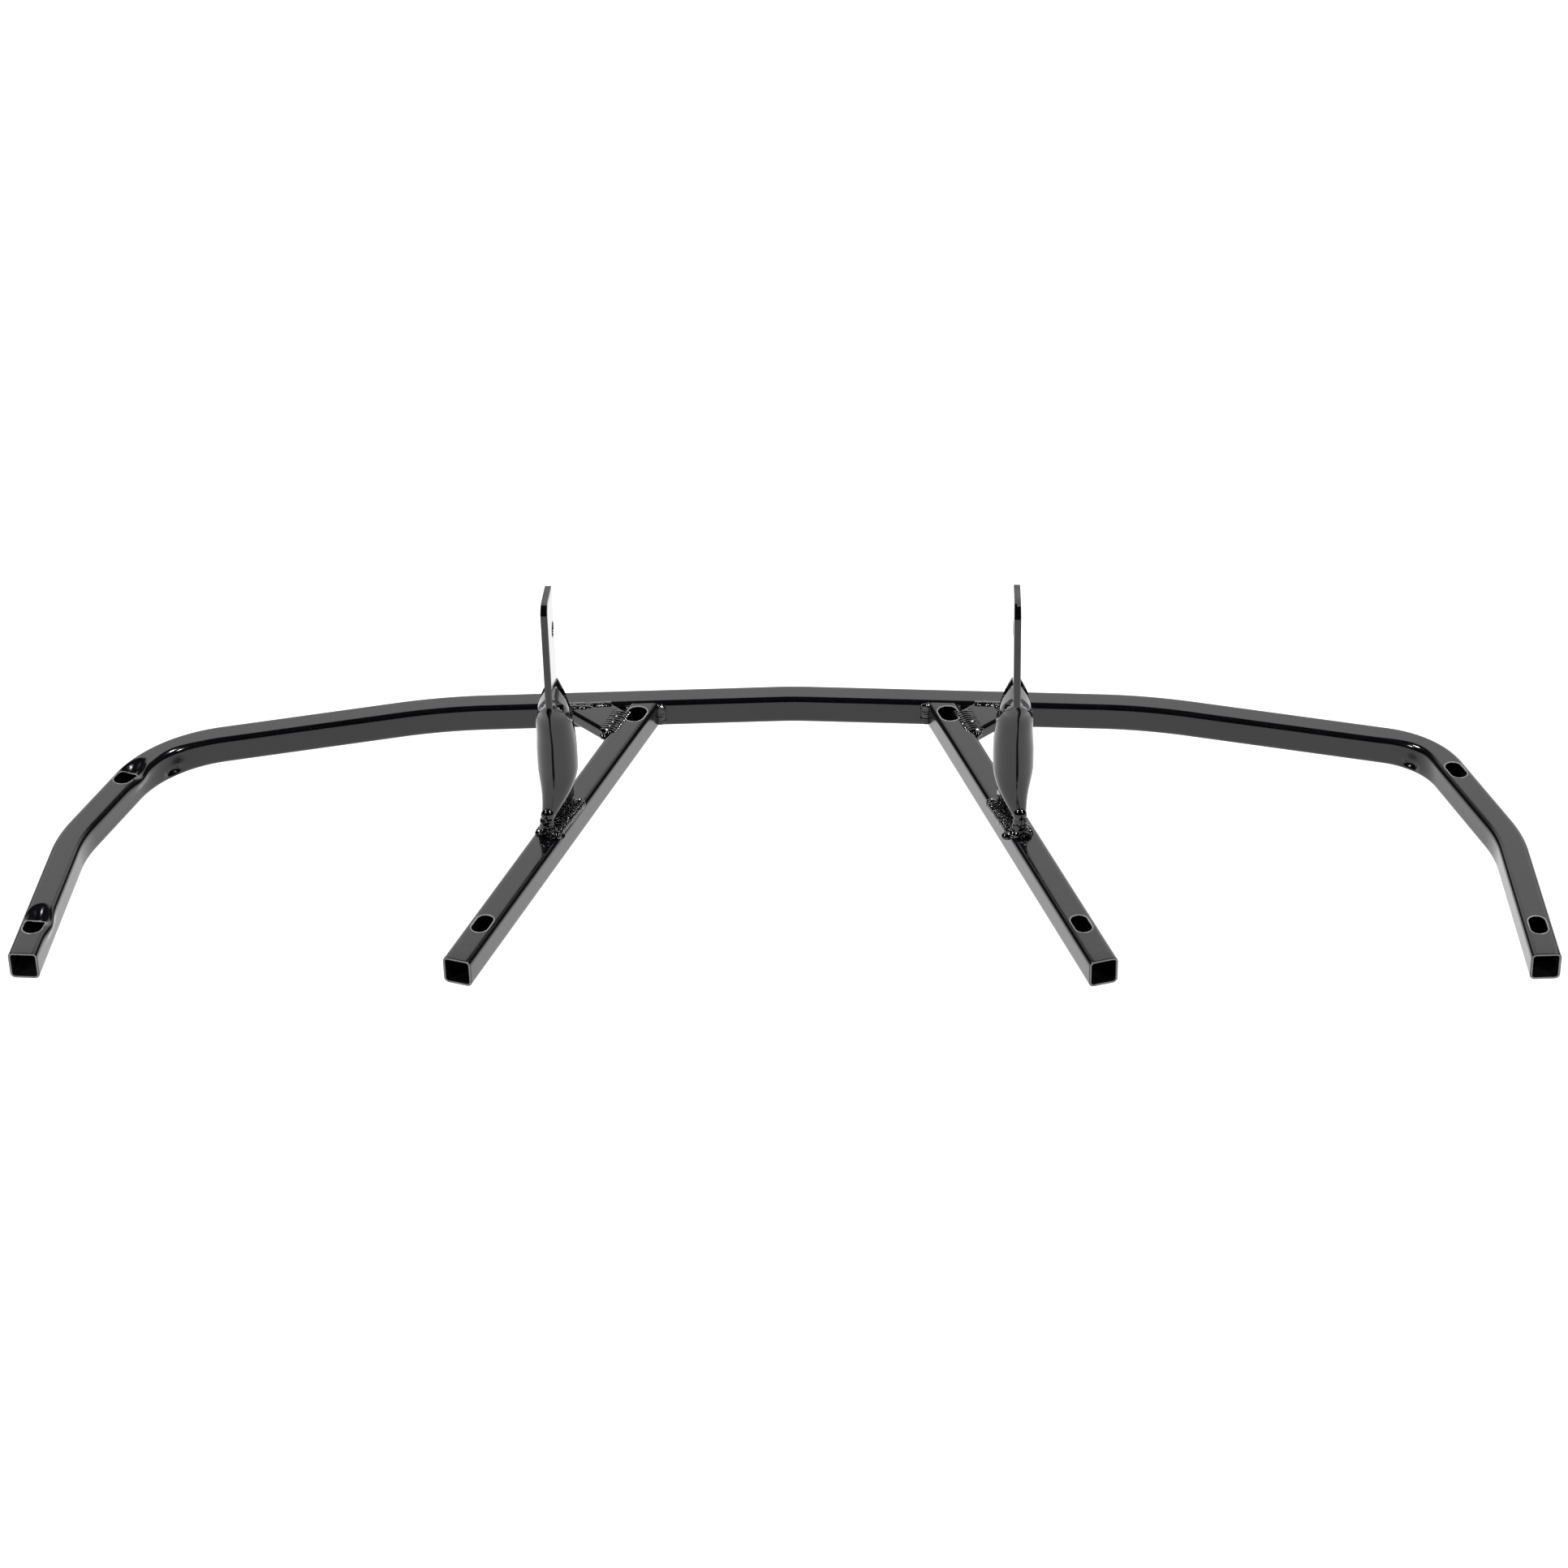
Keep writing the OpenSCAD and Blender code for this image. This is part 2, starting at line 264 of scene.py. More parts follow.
def section(w, h, r, inset, flat_n, corner_n):
    """Points (across, up) round a rounded bar that is drawn in by inset."""
    a, b, r = w / 2 - inset, h / 2 - inset, max(r - inset, 0.3)
    pts = []
    for k, (sx, sy) in enumerate(((1, 1), (-1, 1), (-1, -1), (1, -1))):
        cx, cy = sx * (a - r), sy * (b - r)
        for i in range(corner_n + 1):
            t = math.radians(90 * k + 90 * i / corner_n)
            pts.append((cx + r * math.cos(t), cy + r * math.sin(t)))
        ex, ey = pts[-1]
        nx, ny = ((-1, 1), (-1, -1), (1, -1), (1, 1))[k]
        gx, gy = nx * (a - r), ny * (b - r)
        t = math.radians(90 * (k + 1))
        gx, gy = gx + r * math.cos(t), gy + r * math.sin(t)
        for i in range(1, flat_n):
            pts.append((lerp(ex, gx, i / flat_n), lerp(ey, gy, i / flat_n)))
    return pts


def route(points, radii, dense):
    """Stations (place, heading, distance) along a line with rounded bends. dense lists
    (from, to) stretches that get closely spaced stations."""
    pts = [v2(*p) for p in points]
    out, s = [], 0.0
    at = pts[0]

    def stretch(a, b, s):
        n = (b - a).length
        d, t = unit(a, b), 0.0
        while t < n - 1e-6:
            out.append((a + d * t, d, s + t))
            step = FINE_STEP if any(lo <= s + t <= hi for lo, hi in dense) else STEP
            nxt = t + step
            for lo, _ in dense:
                if s + t < lo < s + nxt:
                    nxt = lo - s + 1e-3
            t = nxt
        return s + n

    for i in range(1, len(pts) - 1):
        d0, d1 = unit(pts[i - 1], pts[i]), unit(pts[i], pts[i + 1])
        turn = math.atan2(d0.x * d1.y - d0.y * d1.x, d0.dot(d1))
        r = radii[i - 1]
        back = r * math.tan(abs(turn) / 2)
        s = stretch(at, pts[i] - d0 * back, s)
        start = pts[i] - d0 * back
        centre = start + left_of(d0) * r * (1 if turn > 0 else -1)
        n = max(6, int(abs(turn) * r / BEND_STEP))
        for k in range(n):
            rot = Matrix.Rotation(turn * k / n, 2)
            out.append((centre + rot @ (start - centre), rot @ d0, s + abs(turn) * r * k / n))
        s += abs(turn) * r
        at = pts[i] + d1 * back
    s = stretch(at, pts[-1], s)
    out.append((pts[-1], unit(pts[-2], pts[-1]), s))
    return out


def tube(name, stations, z, coat, w=TUBE, h=TUBE, r=TUBE_R, wall=WALL, flat_n=8,
         corner_n=6, planes=(None, None), warp=None):
    """A closed mesh of a tube with its wall. An end with no plane is cut square, with
    broken edges. An end with a plane (point, normal) is mitred on to it."""
    total = stations[-1][2]
    rings, zones = [], []

    def ring(st, inset, shift=0.0, plane=None, zone=COAT):
        p, d, s = st
        zones.append(zone)
        n = left_of(d)
        out = []
        for a, t in section(w, h, r, inset, flat_n, corner_n):
            ds, da, dt = warp(s, a, t) if warp else (0, 0, 0)
            q = p + n * (a + da) + d * (shift + ds)
            if plane:
                q = q + d * ((plane[0] - q).dot(plane[1]) / d.dot(plane[1]))
            out.append((q.x, q.y, z + t + dt))
        rings.append(out)

    # up the outside from the first end, round the last end, and back down the bore
    first, end = stations[0], stations[-1]
    middle = [st for st in stations[1:-1] if END_CLEAR < st[2] < total - END_CLEAR]
    if planes[0]:
        ring(first, 0, plane=planes[0])
    else:
        for inset, back in OUTER_EDGE:
            ring(first, inset, back)
    for st in middle:
        ring(st, 0)
    if planes[1]:
        ring(end, 0, plane=planes[1])
        ring(end, wall, plane=planes[1], zone=INSIDE)
    else:
        for (inset, back), zone in zip(reversed(OUTER_EDGE), (COAT, COAT, END_AND_LIP_SLOT)):
            ring(end, inset, -back, zone=zone)
        for (inset, back), zone in zip(BORE_EDGE, (END_AND_LIP_SLOT, INSIDE, INSIDE)):
            ring(end, wall - inset, -back, zone=zone)
    for st in reversed(middle):
        ring(st, wall, zone=INSIDE)
    if planes[0]:
        ring(first, wall, plane=planes[0])
    else:
        for (inset, back), zone in zip(reversed(BORE_EDGE), (INSIDE, END_AND_LIP_SLOT, END_AND_LIP_SLOT)):
            ring(first, wall - inset, back, zone=zone)
    m = len(rings[0])
    verts = [p for rg in rings for p in rg]
    faces = []
    for i in range(len(rings)):
        a, b = i * m, ((i + 1) % len(rings)) * m
        for k in range(m):
            j = (k + 1) % m
            faces.append((a + k, a + j, b + j, b + k))
    ob = mesh_object(name, verts, faces)
    for mat in (coat, inside_finish, cut_face_and_rim_highlight):
        ob.data.materials.append(mat)
    ob.data.polygons.foreach_set("material_index", [z for z in zones for _ in range(m)])
    return ob


# Rolled edge of a slot: its radius, how far out and how deep its centre lies
LIP_R, LIP_OUT, LIP_SINK = 0.6, 0.5, 0.22
ROLL_SIDES = 8


def capsule(width, n=14):
    """Outline of a slot, counter-clockwise, its length along X."""
    run, r = (SLOT_L - width) / 2, width / 2
    pts = []
    for s in (1, -1):
        for i in range(n + 1):
            t = math.radians(-90 + 180 * i / n)
            pts.append((s * (run + r * math.cos(t)), s * r * math.sin(t)))
    return pts


def slot_cutter(p, d, width):
    """A prism that cuts a slot through the top wall only, centred on p along d."""
    n = left_of(d)
    line = [p + d * a + n * b for a, b in capsule(width)]
    verts = [(q.x, q.y, z) for z in (HALF - 3, TUBE + 6) for q in line]
    return mesh_object("slot_cutter", verts, prism_faces(len(line)))


def slot_lip(p, d, top_of, width):
    """The rolled edge that the coat leaves round a punched slot, coloured the lighter cut-end grey
    as a painted highlight along the rim. top_of gives the height of the tube's face, which is
    lower where the tube is dished."""
    n = left_of(d)
    line = []
    for a, b in capsule(width):
        q = p + d * a + n * b
        line.append(Vector((q.x, q.y, top_of(q))))
    m = len(line)
    verts = []
    for k in range(m):
        tang = (line[(k + 1) % m] - line[k - 1]).normalized()
        outw = Vector((tang.y, -tang.x, 0)).normalized()
        for j in range(ROLL_SIDES):
            t = 2 * math.pi * j / ROLL_SIDES
            c = line[k] + outw * (LIP_OUT + LIP_R * math.cos(t))
            verts.append((c.x, c.y, c.z - LIP_SINK + LIP_R * math.sin(t)))
    ob = mesh_object("lip", verts, loop_faces(m, ROLL_SIDES))
    for mat in (tube_coat, inside_finish, cut_face_and_rim_highlight):
        ob.data.materials.append(mat)
    # The lip is coloured the lighter cut-end grey: a painted highlight along the slot's rim, beside the real
    # highlights its rolled shape catches.
    for poly in ob.data.polygons:
        poly.material_index = END_AND_LIP_SLOT
    return ob


# ------------------------------------------------------------------ weld beads
def blob_union(name, balls, voxel=0.5, relax=7):
    """One closed skin round many squashed balls: (place, radii, turn about Z)."""
    bm = bmesh.new()
    for place, radii, turn in balls:
        mat = (Matrix.Translation(Vector(place) * MM) @ Matrix.Rotation(turn, 4, "Z")
               @ Matrix.Diagonal((*[q * MM for q in radii], 1)))
        bmesh.ops.create_icosphere(bm, subdivisions=3, radius=1.0, matrix=mat)
    me = bpy.data.meshes.new(name)
    bm.to_mesh(me)
    bm.free()
    ob = bpy.data.objects.new(name, me)
    bpy.context.scene.collection.objects.link(ob)
    m = ob.modifiers.new("skin", "REMESH")
    m.mode, m.voxel_size, m.use_smooth_shade = "VOXEL", voxel * MM, True
    m = ob.modifiers.new("relax", "SMOOTH")
    m.factor, m.iterations = 0.5, relax
    bake_modifiers(ob)
    ob.data.shade_smooth()
    return ob


def ripples(rng, a, b, width, height, pitch=2.6, jitter=0.1, thick=1.9, trail=0.0, turn=None):
    """Overlapping discs along the line from a to b, as a bead is laid. trail sets the
    edges of each ripple behind its middle. A bead that climbs takes the turn of its face."""
    a, b = Vector(a), Vector(b)
    n = max(2, int((b - a).length / pitch))
    along = math.atan2(b.y - a.y, b.x - a.x)

    def uneven(size):
        return size * (1 + rng.uniform(-jitter, jitter))

    balls = []
    for i in range(n + 1):
        p = a.lerp(b, i / n)
        if turn is not None:
            balls.append((p, (uneven(width / 2), uneven(height), uneven(thick)), turn))
            continue
        balls.append((p, (uneven(thick), uneven(width / 2), uneven(height)), along))
        if trail:
            d = (b - a).normalized()
            side = Vector((-d.y, d.x, 0))
            for k in (-1, 1):
                q = p + side * k * width * 0.32 - d * trail
                radii = (uneven(thick), width * 0.24, uneven(height * 0.85))
                balls.append((q, radii, along + k * 0.35))
    return balls


def spatter(rng, centre, spread, count, size):
    """Small drops of bead round a place."""
    out = []
    for _ in range(count):
        p = Vector(centre) + Vector([rng.uniform(-q, q) for q in spread])
        r = size * rng.uniform(0.6, 1.25)
        radii = (r, r * rng.uniform(0.8, 1.2), r * rng.uniform(0.7, 1.1))
        out.append((p, radii, rng.random() * 3))
    return out


# ------------------------------------------------------------------ the pressed upright
# Heights: the pinched foot, the start of the round stretch, the press's lower edge, the
# height from which the tab stands straight, and the tab's highest point
FOOT_Z0, FOOT_Z1 = TUBE, TUBE + 8
ROUND_FROM, EDGE_Z, TAB_FROM, TAB_TOP = 85.0, 130.0, 172, 256.0
# Foot: thickness, turn, place outboard of and behind the axis, extra half length
FOOT_T, FOOT_TURN = 10.0, math.radians(20)
FOOT_OFF, FOOT_BACK, FOOT_SPREAD = {-1: 2.3, 1: -1.2}, 2.0, 2.6
# Tab: thickness, place outboard, slope of its end, radii and depth of its rounded corners
TAB_T, TAB_OFF, TAB_LEAN = 6.2, 2.0, math.tan(math.radians(9))
CLIP_R, CLIP_DEPTH, REAR_R = {-1: 13.0, 1: 19.0}, 0.9, 3
HOLE_Z, HOLE_Y, HOLE_R = 213.0, -202.0, 6.75
RIM_R, RIM_OUT = 0.5, 0.25
# Half thickness that the round stretch narrows to, and where it starts to narrow
NECK, NECK_Z = 15.6, 98
# The bulge that tapers up into the tab, and the dents beside the tab's base
BULGE, BULGE_TOP, BULGE_W, BULGE_SOFTNESS = 11.2, 166.0, 19.5, 0.035
DENT, DENT_V, DENT_Z = 3.2, 12, 151
# Points round each half of a ring: on the arc, and on the flat between the arcs
ARC_N, FLAT_N = 22, 16
TAB_RINGS = 44
SHEAR_ACROSS = 5


def squeezed(a):
    """Half length of the stadium that a round tube makes at half thickness a."""
    return a + math.pi / 2 * (UP_R - a)


def half_thick(z):
    """Half thickness of the upright at height z, before the press."""
    if z <= EDGE_Z:
        body = lerp(FOOT_T / 2, UP_R, smooth(z, FOOT_Z1, ROUND_FROM))
        return body - (UP_R - NECK) * smooth(z, NECK_Z, EDGE_Z + 4)
    neck = UP_R - (UP_R - NECK) * smooth(EDGE_Z, NECK_Z, EDGE_Z + 4)
    return lerp(neck, TAB_T / 2, min(1, (z - EDGE_Z) / 27) ** 2)


def pressed_half(z, v):
    """Half thickness that the press leaves at height z, v in front of (-) or behind the
    axis: the flat tab with a bulge that tapers up into it."""
    t = max(0.0, (z - EDGE_Z) / (BULGE_TOP - EDGE_Z))
    f = 1 - t ** 1.9 - (abs(v) / BULGE_W) ** 2.2
    soft = BULGE_SOFTNESS * math.log1p(math.exp(min(40, f / BULGE_SOFTNESS)))
    dent = DENT * math.exp(-((abs(v) - DENT_V) / 4.5) ** 2 - ((z - DENT_Z) / 6) ** 2)
    return max(TAB_T / 2 - 0.4, TAB_T / 2 + BULGE * soft - dent)


def edge_height(v):
    """Height of the press's lower edge: lowest at the tube's sides."""
    return EDGE_Z + 28 * (min(abs(v), UP_R) / UP_R) ** 2.2


def tab_end(side, v):
    """Height of the tab's sheared end at v, its two corners rounded off."""
    tab_b = squeezed(TAB_T / 2)
    clip_r = CLIP_R[side]
    q = v + tab_b
    end = TAB_TOP - q * TAB_LEAN
    if q < clip_r:
        arc = math.sqrt(max(0.0, clip_r ** 2 - (clip_r - q) ** 2))
        end -= clip_r * CLIP_DEPTH - arc * CLIP_DEPTH
    q = tab_b - v
    if q < REAR_R:
        end -= REAR_R - math.sqrt(max(0.0, REAR_R ** 2 - (REAR_R - q) ** 2))
    return end


def upright_heights():
    """Heights of the rings below the tab, closest where the press has worked."""
    zs = [FOOT_Z0 - 1.2, FOOT_Z0, FOOT_Z0 + 4] + [FOOT_Z1 + i * 2.4 for i in range(24)]
    while zs[-1] < EDGE_Z - 2:
        zs.append(zs[-1] + 3)
    zs = [z for z in zs if z < EDGE_Z - 1.2]
    zs += [EDGE_Z - 1.2 + 0.6 * i for i in range(60)]
    while zs[-1] < TAB_FROM:
        zs.append(zs[-1] + 1.5)
    return zs


def upright_outline(a, b, z):
    """Points (across, back) round a stadium of half thickness a and half length b. Its
    ends turn into folded edges towards the tab."""
    fold = lerp(1.0, 0.5, smooth(z, 140, 156))
    outline = []
    for s in (-1, 1):
        for k in range(ARC_N):
            t = math.radians(-80 + 160 * k / (ARC_N - 1))
            su, cv = math.sin(t), math.cos(t)
            su, cv = math.copysign(abs(su) ** fold, su), cv ** fold
            outline.append((s * a * su, s * ((b - a) + a * cv)))
        u0, v0 = outline[-1]
        lim = b - a
        for k in range(1, FLAT_N + 1):
            v = lerp(v0, -v0, k / (FLAT_N + 1))
            u = a if abs(v) <= lim else math.sqrt(max(0, a * a - (abs(v) - lim) ** 2))
            outline.append((math.copysign(max(u, abs(u0)), u0), v))
    return outline


def worked(u, v, z):
    """A point of the outline after the press, the crease and the dent in the foot."""
    lim = pressed_half(z, v) if z > EDGE_Z - 1.5 else math.inf
    if abs(u) > lim:
        gate = smooth(z, edge_height(v) - 0.5, edge_height(v) + 1.0)
        u = math.copysign(lerp(abs(u), lim, gate), u)
    # the fine crease down the middle of the front and rear
    if z < 150 and abs(u) < 2.2:
        depth = 0.9 * max(0.0, 1 - abs(u) / 0.9)
        v -= math.copysign(depth * smooth(z, 38, 44) * (1 - smooth(z, 140, 150)), v)
    # the folded dent low on the inner rear side of the foot
    if 30 < z < 62 and u < 0:
        below = 47 - 9 * (v + 6) / 26 - z
        u += 1.6 * smooth(below, -0.6, 0.8) * (1 - smooth(below, 6, 16)) * smooth(v, -8, 4)
    return u, v


def upright_ring(side, z, climb=None):
    """The ring at height z. In the tab, climb is how far it is from z to the sheared end."""
    a = half_thick(z)
    w = 1 - smooth(z, FOOT_Z1, ROUND_FROM)
    b = squeezed(a) + FOOT_SPREAD * w
    off = FOOT_OFF[side] * w + TAB_OFF * smooth(z, EDGE_Z - 20, 157)
    c, sn = math.cos(FOOT_TURN * w), math.sin(FOOT_TURN * w)
    ring = []
    for u, v in upright_outline(a, b, z):
        u, v = worked(u, v, z)
        zz = z
        if climb is not None:
            top = tab_end(side, v)
            zz = lerp(z, top, climb)
            # rounded arris at the sheared end
            if top - zz < 0.7:
                u *= 1 - 0.14 * (1 - (top - zz) / 0.7)
        x = side * (UP_X + off + u * c - v * sn)
        ring.append((x, -UP_Y + FOOT_BACK * w + u * sn + v * c, zz))
    return ring


def sheared_end(verts, top, m, rng):
    """Faces of a strip of small rough facets across the last ring, whose m points start at
    top. Adds the strip's own points to verts."""
    half, front = m // 2, ARC_N // 2
    grid = []
    for i in range(half):
        a, b = top + (front + i) % m, top + (front - 1 - i) % m
        pa, pb = Vector(verts[a]), Vector(verts[b])
        row = [a]
        for k in range(1, SHEAR_ACROSS):
            q = pa.lerp(pb, k / SHEAR_ACROSS)
            q.z += rng.uniform(-0.16, 0.12)
            row.append(len(verts))
            verts.append(tuple(q))
        grid.append(row + [b])
    faces = [(row[k], row[k + 1], ahead[k + 1], ahead[k])
             for row, ahead in zip(grid, grid[1:]) for k in range(SHEAR_ACROSS)]
    return faces + [tuple(grid[0][::-1]), tuple(grid[-1])]


def bolt_hole(ob, side):
    """Drills the tab and rolls both edges of the hole."""
    x, n = side * (UP_X + TAB_OFF), 48
    turns = [2 * math.pi * k / n for k in range(n)]
    wall = [(x + du, HOLE_Y + HOLE_R * math.cos(t), HOLE_Z + HOLE_R * math.sin(t))
            for du in (-6, 6) for t in turns]
    drill = mesh_object("hole", wall, prism_faces(n))
    for mat in (round_coat, inside_finish):
        drill.data.materials.append(mat)
    for poly in drill.data.polygons:
        poly.material_index = INSIDE
    cut(ob, [drill])
    rims = []
    for s in (-1, 1):
        verts = []
        for t in turns:
            for j in range(ROLL_SIDES):
                q = 2 * math.pi * j / ROLL_SIDES
                rr = HOLE_R + RIM_OUT + RIM_R * math.cos(q)
                verts.append((x + s * (TAB_T / 2 - 0.3 + RIM_R * math.sin(q)),
                              HOLE_Y + rr * math.cos(t), HOLE_Z + rr * math.sin(t)))
        rims.append(mesh_object("rim", verts, loop_faces(n, ROLL_SIDES)))
    join(ob, rims)


def upright(name, side, rng):
    """A round tube pinched at the foot, pressed flat at the top, sheared and drilled."""
    heights = upright_heights()
    rings = [upright_ring(side, z) for z in heights]
    rings += [upright_ring(side, heights[-1], (i + 1) / TAB_RINGS) for i in range(TAB_RINGS)]
    m = len(rings[0])
    verts = [p for ring in rings for p in ring]
    faces = []
    for i in range(len(rings) - 1):
        a, b = i * m, (i + 1) * m
        for k in range(m):
            j = (k + 1) % m
            faces.append((a + k, a + j, b + j, b + k))
    faces.append(tuple(range(m)))
    coated = len(faces)
    faces += sheared_end(verts, (len(rings) - 1) * m, m, rng)
    ob = mesh_object(name, verts, faces)
    for mat in (round_coat, inside_finish, sheared_finish):
        ob.data.materials.append(mat)
    for poly in list(ob.data.polygons)[coated:]:
        if poly.normal.z > 0.93:
            poly.material_index = END_AND_LIP_SLOT
    bolt_hole(ob, side)
    shade(ob, 28)
    return ob


def finish_piece(ob, mat, slot, *nodes):
    """Gives ob its material if it has none, and its place in the frame."""
    if not ob.data.materials:
        ob.data.materials.append(mat)
    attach(ob, "root")
    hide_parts(*nodes)


# ------------------------------------------------------------------ the bow
bow_points = [(-x, -y) for x, y in reversed(BOW)] + [(0, 0)] + [(x, -y) for x, y in BOW]
bow_radii = BEND_R[-1][::-1] + BEND_R[1][1:]
probe = route(bow_points, bow_radii, [])


def distance_at(p):
    """Distance along the bow of the station nearest to p."""
    best = min(range(len(probe)), key=lambda i: (probe[i][0] - p).length)
    q, d, s = probe[best]
    return s + (p - q).dot(d)


# Dishes of the left arm's slots: how far behind the slot's middle they lie, their depth
DISH_BACK, DISH_DEPTH = 7.5, 5.6
# How far the wall beside a dish is pushed outwards and down
DISH_SIDE, DISH_SAG = 2.6, 1.2
# Corner bends: place of the fold from the bend, depth of the crushed wall and of the fold
FOLD_IN, CRUSH_DEPTH, FOLD_DEPTH = 12, 4.6, 4.2
# The left arm's slots are stretched by their dishes
SLOT_STRETCH = {-1: 2.0, 1: 0.0}

arm_slots = {}
for s in (-1, 1):
    p1, p2, p3 = [v2(s * x, -y) for x, y in BOW[1:]]
    arm_slots[s] = [(p1 + unit(p1, p2) * ARM_SLOT_REAR[s], unit(p1, p2)),
                    (p2 + unit(p2, p3) * ARM_SLOT_FRONT, unit(p2, p3))]
dishes = [distance_at(p - d * DISH_BACK) for p, d in arm_slots[-1]]
folds = [distance_at(v2(s * (BOW[1][0] - FOLD_IN), -BOW[1][1] - FOLD_IN)) for s in (-1, 1)]


def fold_lens(s):
    """How far into the low fold of a corner bend the place s along the bow lies, 0 to 1."""
    return max(max(0.0, 1 - ((s - s0 + 4) / 11) ** 2) for s0 in folds)


def bow_warp(s, a, t):
    """Shift (along, across, up) of the bow's wall at s along it, a across and t up: the
    dished slots of the left arm, the crushed inner walls of the corner bends and the
    folds low down in them."""
    da = dt = 0.0
    for s0 in dishes:
        q = s - s0 - 2
        reach = math.hypot(q / (23 if q > 0 else 15), (a + 0.5) / 12)
        dt -= DISH_DEPTH * (1 - smooth(reach, 0.2, 1)) * smooth(t, 3, HALF - 1)
        if a < 0:
            side = math.exp(-((s - s0 + 3) / 13) ** 2) * smooth(t, 0, HALF - 2)
            da -= DISH_SIDE * side * smooth(-a, 6, HALF - 1)
            dt -= DISH_SAG * side * smooth(-a, 6, HALF - 1)
    for s0 in folds:
        inward = smooth(-a, -HALF, HALF)
        crush = math.exp(-((s - s0) / 24) ** 2)
        da += CRUSH_DEPTH * crush * inward * smooth(t, -9, HALF)
    da += (FOLD_DEPTH * fold_lens(s) * smooth(-a, 4, HALF) * smooth(t, -12.4, -5.5)
           * (1 - smooth(t, -5.0, -2.0)))
    return 0.0, da, dt


# stretches (before, after) a slot that need close stations; a dish reaches further
SLOT_REACH = {-1: (26, 40), 1: (16, 16)}
dense = [(distance_at(p) - SLOT_REACH[s][0], distance_at(p) + SLOT_REACH[s][1])
         for s in (-1, 1) for p, d in arm_slots[s]]
stations = route(bow_points, bow_radii, dense)
bow = tube("bow_tube_skin", stations, HALF, tube_coat, warp=bow_warp, flat_n=14)


def bow_top(q):
    """Height of the bow's top face at q, dishes included."""
    best = min(stations, key=lambda st: (st[0] - q).length)
    a = (q - best[0]).dot(left_of(best[1]))
    return TUBE + bow_warp(distance_at(q), a, HALF)[2]


lips, cutters = [], []
for s in (-1, 1):
    for p, d in arm_slots[s]:
        width = SLOT_W + SLOT_STRETCH[s]
        cutters.append(slot_cutter(p, d, width))
        lips.append(slot_lip(p, d, bow_top, width))
cut(bow, cutters)
join(bow, lips)
shade(bow)
finish_piece(bow, tube_coat, "square_tube", "bow_tube")

# ------------------------------------------------------------------ legs, braces, uprights
LEG_SPARE, BRACE_SPARE = 8, 30
# Slope of the bow's middle stretch
slope = math.atan2(BOW[0][1], BOW[0][0])


def at(p, z):
    return (p.x, p.y, z)


